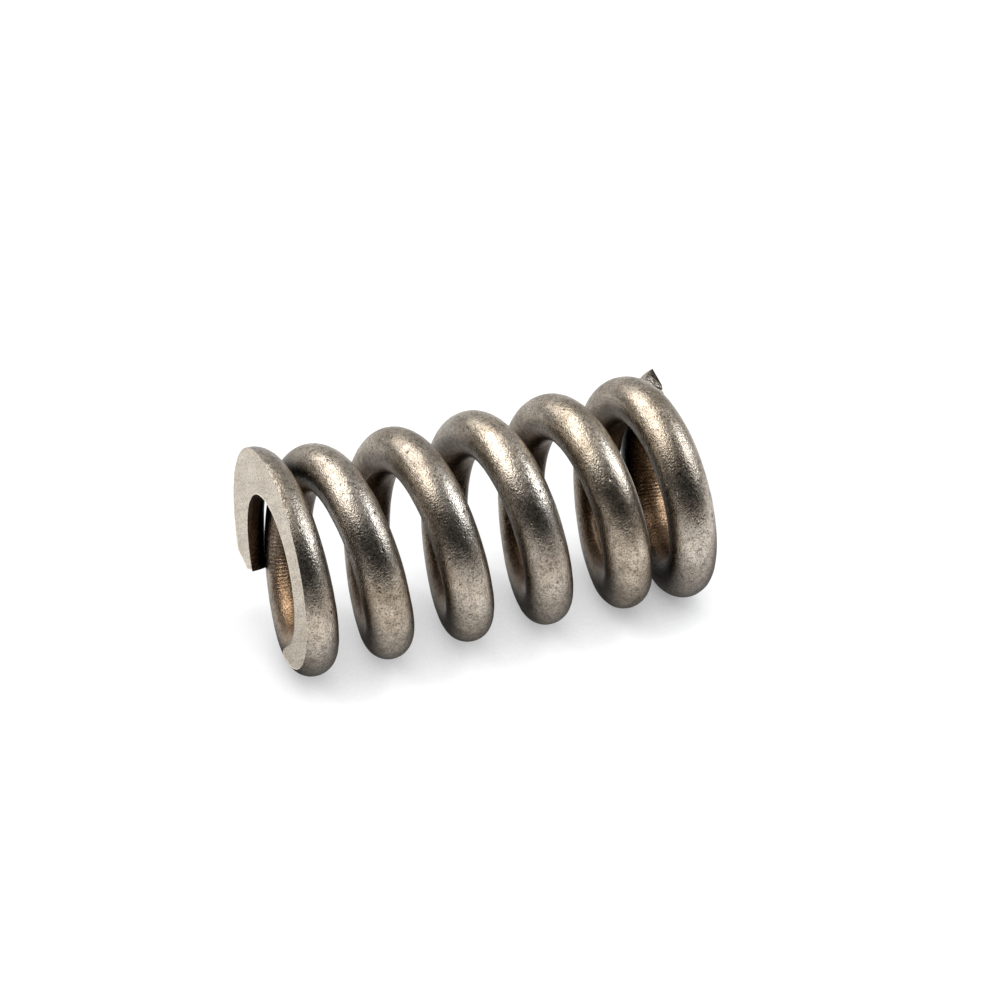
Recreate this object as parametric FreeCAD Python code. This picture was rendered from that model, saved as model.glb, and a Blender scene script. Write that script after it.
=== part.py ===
import FreeCAD, Part

# Compression spring for the front truck of a surfskate.
# Round steel wire, wound right-handed, with closed end turns that are ground flat.
# The spring stands on one ground end: the origin is the middle of that face and +Z is the coil's axis.
# The base tip starts on the +X axis, and the coil climbs anticlockwise to the top tip.

import math
import os

from FreeCAD import Vector

# Wire and coil, in millimetres
wire_diameter = 5.5
inside_diameter = 15.0
free_length = 50.0
total_turns = 6.24

# Wire left at each cut tip after its end is ground flat, measured along the axis
base_tip_thickness = 2.5
top_tip_thickness = 2.4

# Outer corner of the top tip, lost to a slanting break: how far it reaches back along the wire and across it
tip_corner_length = 2.2
tip_corner_depth = 3.2

# Clear space between each tip and the turn that it lies against
tip_gap = 0.1

# Each end winds nearly flat for closed_turns from its tip, then eases to the open pitch at open_turns
base_closed_turns = 0.70
base_open_turns = 1.30
top_closed_turns = 0.34
top_open_turns = 1.02

# The wire springs outwards at its cut ends: how far at the tip, and over how many turns it fades
base_flare = 0.6
base_flare_turns = 3.4
top_flare = 3.0
top_flare_turns = 0.56

# Points per turn that the sweep's centreline passes through
points_per_turn = 16

wire_radius = wire_diameter / 2
coil_radius = (inside_diameter + wire_diameter) / 2


def flare_at(turns_from_tip, flare, flare_turns):
    """How far the wire stands outside the plain coil, fading smoothly from a tip."""
    remaining = max(1 - turns_from_tip / flare_turns, 0)
    return flare * remaining ** 2


def radius_at(turn):
    """Radius of the wire's centreline, a number of turns up from the base tip."""
    base_part = flare_at(turn, base_flare, base_flare_turns)
    top_part = flare_at(total_turns - turn, top_flare, top_flare_turns)
    return coil_radius + base_part + top_part


def closed_share(turns_from_tip, closed_turns, open_turns):
    """Turns of closed winding that lie between a tip and this place, where the easing counts in part."""
    eased = (turns_from_tip - closed_turns) / (open_turns - closed_turns)
    eased = min(max(eased, 0), 1)
    return min(turns_from_tip, closed_turns) + (open_turns - closed_turns) * (eased - eased ** 2 / 2)


def first_rise(tip_radius, next_radius):
    """Climb over the first turn that leaves tip_gap between the tip and the turn beside it."""
    reach = wire_diameter + tip_gap
    return math.sqrt(reach ** 2 - (tip_radius - next_radius) ** 2)


# Heights of the centreline at its two ends, from how much wire the grinding leaves there
base_tip_height = base_tip_thickness - wire_radius
top_tip_height = free_length - (top_tip_thickness - wire_radius)

# The open pitch is what fills the free length once both closed ends have taken their share
base_rise = first_rise(radius_at(0), radius_at(1))
top_rise = first_rise(radius_at(total_turns), radius_at(total_turns - 1))
base_first = closed_share(1, base_closed_turns, base_open_turns)
top_first = closed_share(1, top_closed_turns, top_open_turns)
base_closing = closed_share(base_open_turns, base_closed_turns, base_open_turns)
top_closing = closed_share(top_open_turns, top_closed_turns, top_open_turns)
base_ratio = base_closing / base_first
top_ratio = top_closing / top_first
climb = top_tip_height - base_tip_height
open_pitch = (climb - base_rise * base_ratio - top_rise * top_ratio) / (total_turns - base_ratio - top_ratio)
base_shortfall = (open_pitch - base_rise) / base_first
top_shortfall = (open_pitch - top_rise) / top_first


def height_at(turn):
    """Height of the wire's centreline, a number of turns up from the base tip."""
    base_part = base_shortfall * closed_share(turn, base_closed_turns, base_open_turns)
    top_left = closed_share(total_turns - turn, top_closed_turns, top_open_turns)
    top_part = top_shortfall * (top_closing - top_left)
    return base_tip_height + open_pitch * turn - base_part - top_part


def centre_at(turn):
    """Point on the wire's centreline."""
    angle = 2 * math.pi * turn
    radius = radius_at(turn)
    return Vector(radius * math.cos(angle), radius * math.sin(angle), height_at(turn))


def wound_wire():
    """Round wire swept along the coil, with both ends cut square, and the length of its centreline."""
    steps = math.ceil(total_turns * points_per_turn)
    centreline = Part.BSplineCurve()
    centreline.interpolate([centre_at(total_turns * step / steps) for step in range(steps + 1)])
    section = Part.Circle(centreline.StartPoint, centreline.tangent(centreline.FirstParameter)[0], wire_radius)
    sweep = Part.BRepOffsetAPI.MakePipeShell(Part.Wire(centreline.toShape()))
    sweep.add(Part.Wire(section.toShape()))
    sweep.build()
    sweep.makeSolid()
    return sweep.shape(), centreline.length()


def between_wheels():
    """Space between the two grinding wheels, which are parallel and free_length apart."""
    reach = 2 * (coil_radius + wire_diameter + max(base_flare, top_flare))
    return Part.makeBox(reach, reach, free_length, Vector(-reach / 2, -reach / 2, 0))


def knocked_corner():
    """Block whose inner face takes the outer corner off the top tip, slanting back along the wire."""
    slant = math.degrees(math.atan2(tip_corner_depth, tip_corner_length))
    outward_lean = math.degrees(math.atan2(2 * top_flare / top_flare_turns, 2 * math.pi * radius_at(total_turns)))
    past_tip = wire_diameter / 10
    centre, upright = Vector(0, 0, 0), Vector(0, 0, 1)
    block = Part.makeBox(wire_diameter, wire_diameter + past_tip, wire_diameter + tip_gap)
    block.translate(Vector(0, -wire_diameter, -wire_radius - tip_gap))
    block.rotate(centre, upright, slant)
    block.translate(Vector(wire_radius - tip_corner_depth, 0, 0))
    block.rotate(centre, upright, -outward_lean)
    block.translate(Vector(radius_at(total_turns), 0, height_at(total_turns)))
    block.rotate(centre, upright, 360 * total_turns)
    return block


def spring():
    """The wound wire, ground at both ends, with the corner of its top tip gone."""
    wire, length = wound_wire()
    print("wire", wire.isValid(), wire.Volume, "expected", math.pi * wire_radius ** 2 * length)
    return wire.common(between_wheels()).cut(knocked_corner())


os.makedirs("parts", exist_ok=True)
coil_spring = spring()
coil_spring.exportStep("parts/coil_spring.step")
print("open pitch", open_pitch, "volume", coil_spring.Volume, "valid", coil_spring.isValid())
print("solids", len(coil_spring.Solids), "faces", len(coil_spring.Faces), "box", coil_spring.BoundBox)
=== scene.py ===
import math

import bmesh
import bpy
from mathutils import Matrix, Vector, noise


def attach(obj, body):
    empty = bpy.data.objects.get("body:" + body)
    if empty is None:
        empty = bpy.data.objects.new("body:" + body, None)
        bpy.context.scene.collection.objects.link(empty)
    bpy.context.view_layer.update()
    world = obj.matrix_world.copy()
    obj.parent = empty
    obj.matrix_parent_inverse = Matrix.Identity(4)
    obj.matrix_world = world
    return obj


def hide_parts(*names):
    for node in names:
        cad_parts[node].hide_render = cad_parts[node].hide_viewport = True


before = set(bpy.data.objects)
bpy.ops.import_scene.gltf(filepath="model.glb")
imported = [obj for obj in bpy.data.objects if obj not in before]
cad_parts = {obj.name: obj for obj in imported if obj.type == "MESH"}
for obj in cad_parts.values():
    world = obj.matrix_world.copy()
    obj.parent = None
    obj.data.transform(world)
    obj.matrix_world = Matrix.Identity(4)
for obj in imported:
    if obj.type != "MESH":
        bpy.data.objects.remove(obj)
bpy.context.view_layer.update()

# The spring, wound wire
# One length of round spring steel, coiled cold and right-handed from the base tip up to the top tip.
# Its end turns close up against their neighbours, and the cut ends spring outwards a little.

mm = 0.001
wire_radius = 2.75 * mm
coil_radius = 10.25 * mm
free_length = 50 * mm
total_turns = 6.24
tip_gap = 0.1 * mm
base_tip_thickness = 2.5 * mm
top_tip_thickness = 2.4 * mm
base_closed_turns, base_open_turns = 0.70, 1.30
top_closed_turns, top_open_turns = 0.34, 1.02
base_flare, base_flare_turns = 0.6 * mm, 3.4
top_flare, top_flare_turns = 3.0 * mm, 0.56


def flare_at(turns_from_tip, flare, flare_turns):
    """How far the wire stands outside the plain coil, fading smoothly from a tip."""
    return flare * max(1 - turns_from_tip / flare_turns, 0) ** 2


def radius_at(turn):
    """Radius of the wire's centreline, a number of turns up from the base tip."""
    base_part = flare_at(turn, base_flare, base_flare_turns)
    return coil_radius + base_part + flare_at(total_turns - turn, top_flare, top_flare_turns)


def closed_share(turns_from_tip, closed_turns, open_turns):
    """Turns of closed winding between a tip and this place, where the easing counts in part."""
    eased = min(max((turns_from_tip - closed_turns) / (open_turns - closed_turns), 0), 1)
    return min(turns_from_tip, closed_turns) + (open_turns - closed_turns) * (eased - eased ** 2 / 2)


def first_rise(tip_radius, next_radius):
    """Climb over the first turn that leaves tip_gap between the tip and the turn beside it."""
    return math.sqrt((2 * wire_radius + tip_gap) ** 2 - (tip_radius - next_radius) ** 2)


base_tip_height = base_tip_thickness - wire_radius
top_tip_height = free_length - (top_tip_thickness - wire_radius)
base_rise = first_rise(radius_at(0), radius_at(1))
top_rise = first_rise(radius_at(total_turns), radius_at(total_turns - 1))
base_first = closed_share(1, base_closed_turns, base_open_turns)
top_first = closed_share(1, top_closed_turns, top_open_turns)
base_closing = closed_share(base_open_turns, base_closed_turns, base_open_turns)
top_closing = closed_share(top_open_turns, top_closed_turns, top_open_turns)
base_ratio, top_ratio = base_closing / base_first, top_closing / top_first
open_climb = top_tip_height - base_tip_height - base_rise * base_ratio - top_rise * top_ratio
open_pitch = open_climb / (total_turns - base_ratio - top_ratio)
base_shortfall = (open_pitch - base_rise) / base_first
top_shortfall = (open_pitch - top_rise) / top_first


def centre_at(turn):
    """Point on the wire's centreline, a number of turns up from the base tip."""
    base_part = base_shortfall * closed_share(turn, base_closed_turns, base_open_turns)
    top_left = closed_share(total_turns - turn, top_closed_turns, top_open_turns)
    height = base_tip_height + open_pitch * turn - base_part - top_shortfall * (top_closing - top_left)
    angle = 2 * math.pi * turn
    return Vector((radius_at(turn) * math.cos(angle), radius_at(turn) * math.sin(angle), height))


def section_place(turn):
    """Placement of the wire's round section: X points away from the axis and Z runs along the wire."""
    hair = 1e-4
    along = (centre_at(turn + hair) - centre_at(turn - hair)).normalized()
    angle = 2 * math.pi * turn
    outward = Vector((math.cos(angle), math.sin(angle), 0))
    outward = (outward - along * outward.dot(along)).normalized()
    place = Matrix((outward, along.cross(outward), along)).transposed().to_4x4()
    place.translation = centre_at(turn)
    return place


section_points = 56
sections_per_turn = 128
steps = math.ceil(total_turns * sections_per_turn)
turns_per_step = total_turns / steps

bm = bmesh.new()
grain = bm.verts.layers.float_vector.new("grain")    # along the wire, outwards, and across, in metres
start = section_place(0)
bmesh.ops.create_circle(bm, segments=section_points, radius=wire_radius, matrix=start)
for vert in bm.verts:
    local = start.inverted() @ vert.co
    vert[grain] = Vector((0, local.x, local.y))
base_rim = list(bm.edges)
leading = base_rim
wound = 0
for step in range(steps):
    here = section_place(step * turns_per_step)
    there = section_place((step + 1) * turns_per_step)
    grown = bmesh.ops.extrude_edge_only(bm, edges=leading)["geom"]
    verts = [item for item in grown if isinstance(item, bmesh.types.BMVert)]
    bmesh.ops.transform(bm, matrix=there @ here.inverted(), verts=verts)
    wound += (there.translation - here.translation).length
    for vert in verts:
        vert[grain].x = wound
    new = set(verts)
    edges = [item for item in grown if isinstance(item, bmesh.types.BMEdge)]
    leading = [edge for edge in edges if new.issuperset(edge.verts)]
top_rim = leading

# The spring, cut ends
# The wire is sheared off at each end, which leaves a rough, slightly hollow face across it.
# The outer corner of the top tip and the lower corner of the base tip are broken off.

WIRE, GROUND, SHEARED, EDGE = range(4)    # the order of the spring's finishes
same_place = 1e-7
cap_rings = 5
hollow = 0.08 * mm


def rough_height(place, coarse_size, coarse_height, fine_size, fine_height):
    """Height of a surface that is rough at two scales."""
    coarse = noise.noise(place / coarse_size) * coarse_height
    return coarse + noise.noise(place / fine_size) * fine_height


for rim, turn, along_wire in ((base_rim, 0, 0), (top_rim, total_turns, wound)):
    place = section_place(turn)
    cap = bmesh.ops.contextual_create(bm, geom=rim, mat_nr=SHEARED)["faces"][0]
    ring_width = wire_radius / (cap_rings + 0.5)
    patch = [cap]
    for ring in range(cap_rings):
        patch += bmesh.ops.inset_region(bm, faces=[cap], thickness=ring_width, use_even_offset=True)["faces"]
    patch += bmesh.ops.poke(bm, faces=[cap])["faces"]
    patch = [face for face in patch if face.is_valid]
    rim_verts = {vert for edge in rim for vert in edge.verts}
    end_side = -1 if turn == 0 else 1
    for vert in {vert for face in patch for vert in face.verts} - rim_verts:
        local = place.inverted() @ vert.co
        vert[grain] = Vector((along_wire, local.x, local.y))
        torn = rough_height(vert[grain], 0.9 * mm, 0.16 * mm, 0.35 * mm, 0.05 * mm)
        vert.co += place.to_3x3() @ Vector((0, 0, end_side * (torn - hollow)))

# The peened and handled wire isn't a perfect cylinder: it waves by a few hundredths of a millimetre.
# Its underside swells a little towards the top tip.
wave_sink = 0.03 * mm
swell_depth, swell_length = 0.17 * mm, 24 * mm
bm.normal_update()
for vert in bm.verts:
    if all(face.material_index == WIRE for face in vert.link_faces):
        wave = rough_height(vert[grain], 4.2 * mm, 0.045 * mm, 1.1 * mm, 0.018 * mm)
        vert.co += vert.normal * (wave - wave_sink)
        swell = 1 - min((wound - vert[grain].x) / swell_length, 1) ** 2
        vert.co.z -= swell_depth * swell * max(-vert.normal.z, 0)


def points_near(tip, along_wire, reach):
    """Points of the wire's own end at a tip, without the turn beside it."""
    end_length = 2 * wire_radius
    near = [vert for vert in bm.verts if (vert.co - tip.translation).length < reach]
    return [vert for vert in near if abs(vert[grain].x - along_wire) < end_length]


def break_off(near, point, outwards):
    """Breaks off what lies outside a plane near a tip, which leaves a sheared face."""
    own = set(near)
    near_edges = [edge for edge in bm.edges if own.issuperset(edge.verts)]
    near_faces = [face for face in bm.faces if own.issuperset(face.verts)]
    bmesh.ops.bisect_plane(bm, geom=near + near_edges + near_faces, dist=same_place, clear_outer=True,
                           plane_co=point, plane_no=outwards)
    open_edges = [edge for edge in bm.edges if edge.is_boundary]
    for face in bmesh.ops.holes_fill(bm, edges=open_edges, sides=0)["faces"]:
        face.material_index = SHEARED


top_corner_length, top_corner_depth = 2.2 * mm, 3.2 * mm
top_tip = section_place(total_turns)
outward, along = top_tip.col[0].to_3d(), top_tip.col[2].to_3d()
break_off(points_near(top_tip, wound, 2 * wire_radius),
          point=top_tip.translation + outward * (wire_radius - top_corner_depth),
          outwards=(outward * top_corner_length + along * top_corner_depth).normalized())

base_corner_height, base_corner_depth, base_corner_lean = 0.75 * mm, 2.3 * mm, 0.5 * mm
base_tip = section_place(0)
break_off(points_near(base_tip, 0, 1.6 * wire_radius),
          point=Vector((base_tip.translation.x + wire_radius, 0, base_corner_height)),
          outwards=Vector((base_corner_height, -base_corner_lean, -base_corner_depth)).normalized())

# The spring, ground ends
# Both ends are ground flat between two parallel wheels, so each end turn has a flat ring that thins to
# a feather. The wheels leave a fine broken edge where the flat meets the round wire.

edge_width, edge_depth = 0.09 * mm, 0.05 * mm
sharp_angle = math.radians(30)
for height, side in ((0, -1), (free_length, 1)):
    bmesh.ops.bisect_plane(bm, geom=list(bm.verts) + list(bm.edges) + list(bm.faces), dist=same_place,
                           clear_outer=True, plane_co=(0, 0, height), plane_no=(0, 0, side))
    open_edges = [edge for edge in bm.edges if edge.is_boundary]
    flats = bmesh.ops.holes_fill(bm, edges=open_edges, sides=0)["faces"]
    flat_rim = {vert for face in flats for vert in face.verts}
    broken = bmesh.ops.inset_region(bm, faces=flats, thickness=edge_width, use_even_offset=True)["faces"]
    for face in broken:
        face.material_index = EDGE
    for face in flats:
        face.material_index = GROUND
    for vert in flat_rim:
        vert.co.z -= side * edge_depth

bmesh.ops.recalc_face_normals(bm, faces=bm.faces)
for face in bm.faces:
    face.smooth = face.material_index != GROUND
for edge in bm.edges:
    if len(edge.link_faces) == 2 and edge.calc_face_angle() > sharp_angle:
        edge.smooth = False
mesh = bpy.data.meshes.new("spring")
bm.to_mesh(mesh)
bm.free()
spring = bpy.data.objects.new("spring", mesh)
bpy.context.scene.collection.objects.link(spring)
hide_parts("coil_spring")
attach(spring, "root")

# The spring, steel finish
# The wire is shot-peened and left dull: warm brown-grey with a mottled patina, fine dents, pits and scratches,
# and painted shade inside the coil.
# The ground rings are paler and finer, their broken edges bright, and the sheared tips bright and torn.


class NodeKit:
    """Adds nodes to a node tree and links them."""

    def __init__(self, tree):
        self.tree = tree

    def add(self, kind, settings=None, **inputs):
        """Adds a node. Inputs go by name, or by i and their number, and take a value or a socket."""
        made = self.tree.nodes.new("ShaderNode" + kind)
        for key, value in (settings or {}).items():
            setattr(made, key, value)
        for key, value in inputs.items():
            numbered = key[0] == "i" and key[1:].isdigit()
            socket = made.inputs[int(key[1:]) if numbered else key.replace("_", " ")]
            if isinstance(value, bpy.types.NodeSocket):
                self.tree.links.new(value, socket)
            else:
                socket.default_value = value
        return made

    def feed(self, source, node, name):
        """Links an output to a node's named input."""
        self.tree.links.new(source, node.inputs[name])

    def ramp(self, factor, *stops):
        """A grey ramp through (place, level) stops."""
        made = self.add("ValToRGB", Fac=factor)
        elements = made.color_ramp.elements
        while len(elements) < len(stops):
            elements.new(0.5)
        for element, (place, level) in zip(elements, stops):
            element.position = place
            element.color = (level, level, level, 1)
        return made.outputs["Color"]

    def fade(self, value, first, last, at_first, at_last, smooth=False):
        """Goes from one level to another between two values, and stays level beyond them."""
        settings = {"interpolation_type": "SMOOTHSTEP"} if smooth else {}
        made = self.add("MapRange", settings, Value=value, From_Min=first, From_Max=last, To_Min=at_first,
                        To_Max=at_last)
        return made.outputs[0]

    def mix(self, factor, first, second, blend="MIX"):
        """Blends two colours."""
        made = self.add("Mix", {"data_type": "RGBA", "blend_type": blend}, i0=factor, i6=first, i7=second)
        return made.outputs[2]

    def calc(self, operation, first, second=0.0):
        """One step of arithmetic on values."""
        return self.add("Math", {"operation": operation}, i0=first, i1=second).outputs[0]

    def along(self, place, direction):
        """How far a place, or how much of a direction, lies along another direction."""
        made = self.add("VectorMath", {"operation": "DOT_PRODUCT"}, i0=place, i1=tuple(direction))
        return made.outputs["Value"]

    def cloud(self, place, scale, detail=3.0, roughness=0.55, distortion=0.0, stretch=(1, 1, 1),
              offset=(0, 0, 0), turn=0.0):
        """Cloudy noise, which may be stretched, moved and turned about Z."""
        spread = self.add("Mapping", Vector=place, Scale=stretch, Location=offset, Rotation=(0, 0, turn))
        made = self.add("TexNoise", Vector=spread.outputs[0], Scale=scale, Detail=detail, Roughness=roughness,
                        Distortion=distortion)
        return made.outputs["Fac"]

    def bump(self, relief, strength, depth, shader):
        """Gives a shader a fine relief."""
        made = self.add("Bump", Height=relief, Strength=strength, Distance=depth)
        self.feed(made.outputs["Normal"], shader, "Normal")


def new_material(name):
    material = bpy.data.materials.new(name)
    material.use_nodes = True
    return material, NodeKit(material.node_tree), material.node_tree.nodes["Principled BSDF"]


def colour(red, green, blue):
    """A colour as sockets take it."""
    return (red, green, blue, 1)


def wound_steel():
    """Round wire: patina and fine dents follow the wire, with rib marks on the side that faced the mandrel.
    Painted shade darkens its inner side, its crevices and the inside of the coil.
    """
    dark_brown, light_brown = colour(0.52, 0.42, 0.315), colour(0.92, 0.80, 0.655)
    cool_grey, copper_inner_shade = colour(0.56, 0.52, 0.485), colour(0.80, 0.59, 0.42)
    pit_brown, bare_steel = colour(0.06, 0.045, 0.035), colour(0.86, 0.80, 0.70)
    material, kit, shader = new_material("wound_steel")
    place = kit.add("Attribute", {"attribute_name": "grain"}).outputs["Vector"]
    outwards = kit.add("SeparateXYZ", Vector=place).outputs["Y"]
    inwards = kit.calc("MULTIPLY", outwards, -360.0)    # about 1 along the innermost line of the wire

    patina = kit.cloud(place, 190, 6, 0.62, 0.6)
    broad = kit.cloud(place, 55, 3, 0.5, 0.2, offset=(0.3, 0.1, 0.7))
    speckle = kit.cloud(place, 6000, 2, 0.7)
    mottle = kit.cloud(place, 1500, 4, 0.65, 0.5, offset=(1, 2, 3))
    brown = kit.mix(kit.ramp(patina, (0.36, 0.0), (0.62, 1.0)), dark_brown, light_brown)
    cool = kit.mix(kit.ramp(broad, (0.45, 0.0), (0.65, 0.45)), brown, cool_grey)
    grained = kit.mix(1.0, cool, kit.ramp(speckle, (0.34, 0.26), (0.48, 0.80), (0.60, 1.0)), "MULTIPLY")
    grained = kit.mix(1.0, grained, kit.ramp(mottle, (0.34, 0.60), (0.54, 1.0)), "MULTIPLY")
    # Towards the inside of the coil the wire turns darker and coppery: painted shade inside the coil.
    inner_side = kit.ramp(inwards, (0.10, 0.0), (0.75, 1.0))
    grained = kit.mix(inner_side, grained, kit.mix(1.0, grained, copper_inner_shade, "MULTIPLY"))
    # Painted shade: the colour goes nearly black where other turns close round the wire, in the crevices
    # between close turns and inside the coil.
    painted_crevice_shade = kit.add("AmbientOcclusion", {"samples": 3, "only_local": True}, Distance=22 * mm).outputs["AO"]
    grained = kit.mix(1.0, grained, kit.ramp(painted_crevice_shade, (0.28, 0.01), (0.50, 0.14), (0.64, 1.0)), "MULTIPLY")

    pit_cells = kit.add("TexVoronoi", Vector=place, Scale=1000.0, Randomness=1.0).outputs["Distance"]
    pit_chance = kit.cloud(place, 900, 1, 0.5, offset=(5, 5, 5))
    pit = kit.calc("MULTIPLY", kit.ramp(pit_cells, (0.06, 1.0), (0.20, 0.0)),
                   kit.ramp(pit_chance, (0.52, 0.0), (0.60, 1.0)))
    pitted = kit.mix(kit.calc("MULTIPLY", pit, 0.8), grained, pit_brown)
    streak = kit.cloud(place, 700, 3, 0.6, 0.3, stretch=(0.07, 1, 1))
    worn = kit.mix(kit.ramp(streak, (0.60, 0.0), (0.72, 0.35)), pitted, bare_steel)
    kit.feed(worn, shader, "Base Color")

    shader.inputs["Metallic"].default_value = 1.0
    rough = kit.calc("ADD", kit.calc("MULTIPLY", patina, -0.20), 0.37)
    kit.feed(kit.calc("ADD", rough, kit.calc("MULTIPLY", speckle, 0.10)), shader, "Roughness")

    peened = kit.add("TexVoronoi", {"feature": "SMOOTH_F1"}, Vector=place, Scale=5200.0, Smoothness=0.5)
    dents = kit.cloud(place, 900, 4, 0.65, 0.4, offset=(2, 0, 1))
    ribs = kit.add("TexWave", {"bands_direction": "X"}, Vector=place, Scale=560.0, Distortion=1.4, Detail=2.0,
                   Detail_Scale=1.5).outputs["Fac"]
    ribbed = kit.calc("MULTIPLY", ribs, kit.ramp(inwards, (0.15, 0.0), (0.60, 1.0)))
    relief = kit.calc("MULTIPLY", peened.outputs["Distance"], 0.42)
    for pattern, height in ((dents, 0.10), (ribbed, 0.28), (pit, -1.2), (speckle, 0.50)):
        relief = kit.calc("ADD", relief, kit.calc("MULTIPLY", pattern, height))
    kit.bump(relief, 1.0, 0.06 * mm, shader)
    return material


def ground_steel():
    """Flat end ring: pale and even, with a fine speckle and the fine lines of the grinding wheel."""
    dull_cream, bright_cream = colour(0.90, 0.795, 0.66), colour(1.0, 0.91, 0.78)
    material, kit, shader = new_material("ground_steel")
    place = kit.add("TexCoord").outputs["Object"]
    soil = kit.cloud(place, 160, 4, 0.6)
    speckle = kit.cloud(place, 4200, 3, 0.75)
    lines = kit.cloud(place, 1500, 3, 0.6, stretch=(1, 0.05, 1), turn=0.5)
    pale = kit.mix(kit.ramp(soil, (0.38, 0.0), (0.64, 1.0)), dull_cream, bright_cream)
    pale = kit.mix(1.0, pale, kit.ramp(speckle, (0.36, 0.30), (0.48, 0.90), (0.56, 1.0)), "MULTIPLY")
    pale = kit.mix(0.5, pale, kit.ramp(lines, (0.35, 0.80), (0.65, 1.15)), "MULTIPLY")
    kit.feed(pale, shader, "Base Color")
    shader.inputs["Metallic"].default_value = 0.28
    kit.feed(kit.calc("ADD", kit.calc("MULTIPLY", speckle, 0.25), 0.42), shader, "Roughness")
    kit.bump(kit.calc("ADD", kit.calc("MULTIPLY", lines, 0.8), speckle), 0.8, 0.04 * mm, shader)
    return material


def torn_steel():
    """Sheared tip: bright, cool and torn."""
    dark_tear, bright_tear = colour(0.20, 0.19, 0.19), colour(0.60, 0.60, 0.62)
    material, kit, shader = new_material("sheared_steel")
    place = kit.add("TexCoord").outputs["Object"]
    torn = kit.cloud(place, 1300, 5, 0.65)
    patches = kit.cloud(place, 420, 2, 0.5)
    face = kit.mix(kit.ramp(patches, (0.42, 0.0), (0.58, 1.0)), dark_tear, bright_tear)
    face = kit.mix(0.8, face, kit.ramp(torn, (0.30, 0.5), (0.68, 1.2)), "MULTIPLY")
    kit.feed(face, shader, "Base Color")
    shader.inputs["Metallic"].default_value = 1.0
    shader.inputs["Roughness"].default_value = 0.36
    kit.bump(torn, 0.9, 0.1 * mm, shader)
    return material


def edge_steel():
    """Broken edge round the flat: bare metal, a little yellow."""
    worn_yellow, bare_steel = colour(0.78, 0.68, 0.50), colour(1.0, 0.95, 0.82)
    material, kit, shader = new_material("edge_steel")
    wear = kit.cloud(kit.add("TexCoord").outputs["Object"], 900, 3, 0.5)
    kit.feed(kit.mix(kit.ramp(wear, (0.35, 0.0), (0.60, 1.0)), worn_yellow, bare_steel), shader, "Base Color")
    shader.inputs["Metallic"].default_value = 0.35
    shader.inputs["Roughness"].default_value = 0.30
    return material


for finish in (wound_steel(), ground_steel(), torn_steel(), edge_steel()):
    spring.data.materials.append(finish)

# The paper
# In the photo the spring lies on its side on white paper, and here it stands on its base as the part does.
# So the paper stands upright against the coil's side, and the camera and lamps are turned with it.

paper_angle = math.radians(326.58)
up = Vector((math.cos(paper_angle), math.sin(paper_angle), 0))        # away from the paper
front = Vector((math.sin(paper_angle), -math.cos(paper_angle), 0))    # along the paper, to the camera's side
axis = Vector((0, 0, 1))                                              # along the coil, to its top end
middle = Vector((0, 0, free_length / 2))
touch = min(vert.co.dot(up) for vert in mesh.vertices)

paper_reach = 0.9
bm = bmesh.new()
upright = Matrix((axis, front, up)).transposed().to_4x4()
upright.translation = up * touch + middle
bmesh.ops.create_grid(bm, x_segments=1, y_segments=1, size=paper_reach, matrix=upright)
paper_mesh = bpy.data.meshes.new("paper")
bm.to_mesh(paper_mesh)
bm.free()
paper = bpy.data.objects.new("paper", paper_mesh)
bpy.context.scene.collection.objects.link(paper)


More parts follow.
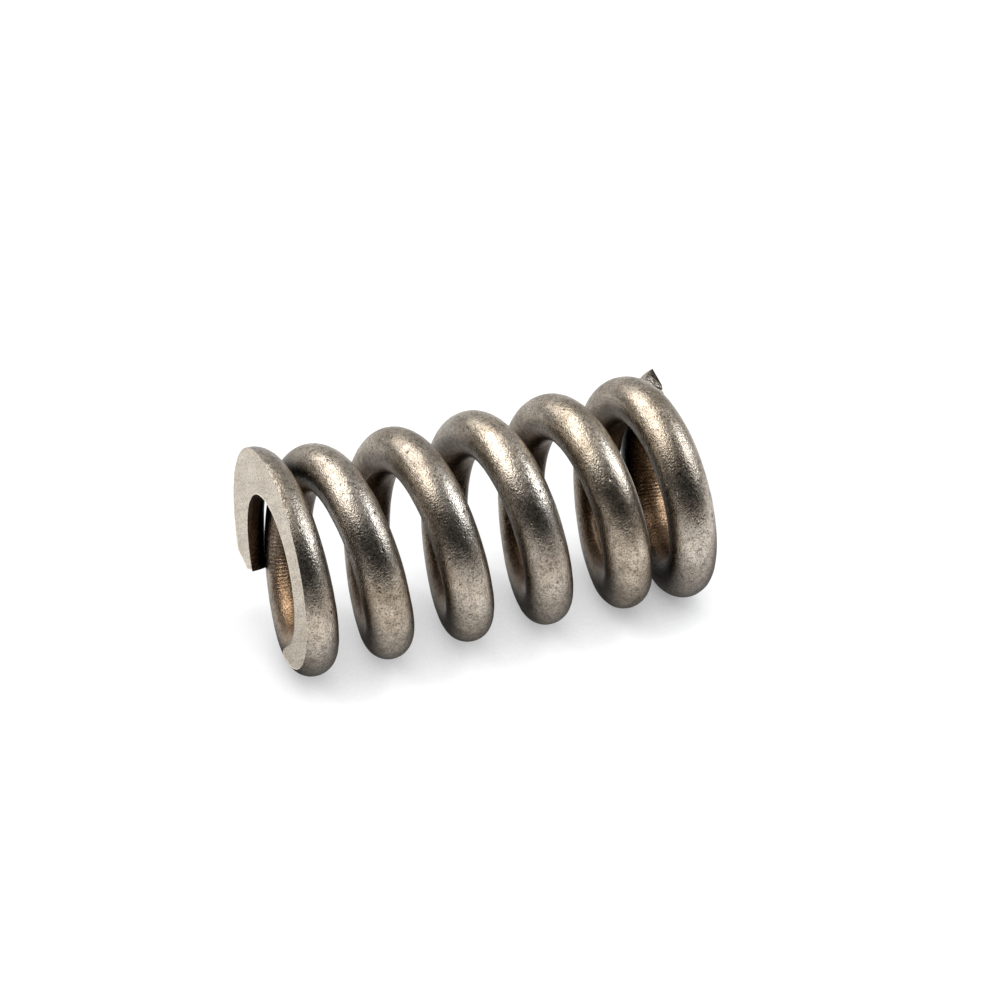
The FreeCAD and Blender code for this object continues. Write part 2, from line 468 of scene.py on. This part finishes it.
def white_paper():
    """White with a painted soft shadow of the coil in view, a painted glow bright beside the coil in
    reflections, clear from behind.
    """
    white, black, lamp_share = colour(1, 1, 1), colour(0, 0, 0), colour(0.08, 0.081, 0.083)
    material, kit, shader = new_material("paper")
    kit.tree.nodes.remove(shader)
    ray = kit.add("LightPath").outputs
    position = kit.add("TexCoord").outputs["Object"]
    beside = kit.along(position, front)
    height = kit.add("SeparateXYZ", Vector=position).outputs["Z"]
    past_top = kit.calc("MAXIMUM", kit.calc("SUBTRACT", height, free_length), 0.0)
    past_base = kit.calc("MAXIMUM", kit.calc("MULTIPLY", height, -1.0), 0.0)
    past_end = kit.calc("MULTIPLY", kit.calc("ADD", past_top, past_base), 0.55)
    squares = kit.calc("ADD", kit.calc("MULTIPLY", beside, beside), kit.calc("MULTIPLY", past_end, past_end))
    from_coil = kit.calc("SQRT", squares)

    # In view: the sheet glows, and its glow holds a painted shadow: it darkens where the coil covers it, and
    # whitens on the camera's side and far out.
    nook = kit.add("AmbientOcclusion", {"samples": 4}, Distance=7.5 * mm).outputs["AO"]
    open_sky = kit.fade(nook, 0.12, 0.88, 0.17, 0.98)
    outlying = kit.fade(from_coil, 30 * mm, 80 * mm, 0.0, 0.4)
    painted_front_light = kit.fade(beside, -12 * mm, 7 * mm, -0.06, 0.16)
    painted_shadow_in_view = kit.calc("ADD", kit.calc("ADD", open_sky, painted_front_light), outlying)

    # In reflections the sheet glows as a painted reflection: bright beside the coil, fading outwards, with a
    # painted shadow beneath it.
    far_off = kit.calc("ADD", beside, kit.calc("MULTIPLY", past_top, 1.3))
    painted_reflection = kit.fade(far_off, 36 * mm, 120 * mm, 1.10, 0.26)
    beneath = kit.fade(from_coil, 2 * mm, 24 * mm, 0.06, 1.0, smooth=True)
    behind_coil = kit.fade(beside, -30 * mm, 10 * mm, 0.72, 1.0)
    painted_reflection = kit.calc("MULTIPLY", kit.calc("MULTIPLY", painted_reflection, beneath), behind_coil)

    glow = kit.calc("MULTIPLY", painted_shadow_in_view, ray["Is Camera Ray"])
    glow = kit.calc("ADD", glow, kit.calc("MULTIPLY", painted_reflection, ray["Is Glossy Ray"]))
    sheet = kit.add("BsdfDiffuse", Color=kit.mix(ray["Is Glossy Ray"], lamp_share, black))
    glowing = kit.add("Emission", Color=white, Strength=glow)
    lit = kit.add("AddShader", i0=sheet.outputs[0], i1=glowing.outputs[0])
    clear = kit.add("BsdfTransparent")
    from_behind = kit.calc("MULTIPLY", ray["Is Camera Ray"], kit.add("NewGeometry").outputs["Backfacing"])
    result = kit.add("MixShader", i0=from_behind, i1=lit.outputs[0], i2=clear.outputs[0])
    kit.feed(result.outputs[0], kit.tree.nodes["Material Output"], "Surface")
    return material


paper_mesh.materials.append(white_paper())

# The lamps and the room
# A large cream softbox stands over the ground top end and a small cool one over the base.
# The room is white in view, and in reflections it has one pale wall and a dim camera's side.


def softbox(name, direction, distance, width, length, power, tint):
    """A rectangular lamp that faces the middle of the coil. Its width lies level with the paper."""
    lamp = bpy.data.lights.new(name, "AREA")
    lamp.shape = "RECTANGLE"
    lamp.size, lamp.size_y = width, length
    lamp.energy = power
    lamp.color = tint
    back = direction.normalized()
    side = up.cross(back).normalized()
    place = Matrix((side, back.cross(side), back)).transposed().to_4x4()
    place.translation = middle + back * distance
    holder = bpy.data.objects.new(name, lamp)
    holder.matrix_world = place
    bpy.context.scene.collection.objects.link(holder)


softbox("cream", up * 0.82 - front * 0.29 + axis * 0.49, distance=0.30, width=0.40, length=0.25, power=0.85,
        tint=(1.0, 0.99, 0.97))
softbox("cool", up * 0.60 + front * 0.21 - axis * 0.77, distance=0.30, width=0.14, length=0.16, power=0.38,
        tint=(0.84, 0.91, 1.0))

world = bpy.data.worlds.new("room")
bpy.context.scene.world = world
world.use_nodes = True
world.cycles.sampling_method = "NONE"
backdrop = world.node_tree.nodes["Background"]
backdrop.inputs["Color"].default_value = colour(1, 1, 1)

dome_level = 0.8
room = NodeKit(world.node_tree)
ray = room.add("LightPath").outputs
direction = room.add("TexCoord").outputs["Generated"]
towards_camera_side = room.along(direction, (front * 0.85 + axis * 0.5).normalized())
wall = room.fade(towards_camera_side, -0.8, 0.0, 0.40, 0.01)
ceiling = room.fade(room.along(direction, up), 0.70, 1.0, 0.0, 0.45)
in_metal = room.calc("MULTIPLY", room.calc("ADD", wall, ceiling), ray["Is Glossy Ray"])
dome = room.calc("MULTIPLY", ray["Is Diffuse Ray"], dome_level)
shown = room.calc("MAXIMUM", ray["Is Camera Ray"], ray["Is Transmission Ray"])
strength = room.calc("MAXIMUM", room.calc("MAXIMUM", shown, dome), in_metal)
room.feed(strength, backdrop, "Strength")

# The camera
# It looks down on the lying spring at 30 degrees, swung 19 degrees towards the ground top end.

camera_target = Vector((2.14, -0.81, 22.41)) * mm
camera_distance = 467.7 * mm
camera_height, camera_swing, camera_roll = math.radians(30.50), math.radians(18.93), math.radians(2.15)
swung = front * math.cos(camera_swing) + axis * math.sin(camera_swing)
back = up * math.sin(camera_height) + swung * math.cos(camera_height)
level = (up - back * up.dot(back)).normalized()
head = level * math.cos(camera_roll) + level.cross(back) * math.sin(camera_roll)
view = bpy.data.cameras.new("photo_camera")
view.sensor_width = 36
view.lens = 146.97
view.clip_start = 10 * mm
camera = bpy.data.objects.new("photo_camera", view)
camera.matrix_world = Matrix((head.cross(back), head, back)).transposed().to_4x4()
camera.matrix_world.translation = camera_target + back * camera_distance
bpy.context.scene.collection.objects.link(camera)
bpy.context.scene.camera = camera
bpy.context.scene.view_settings.view_transform = "Standard"
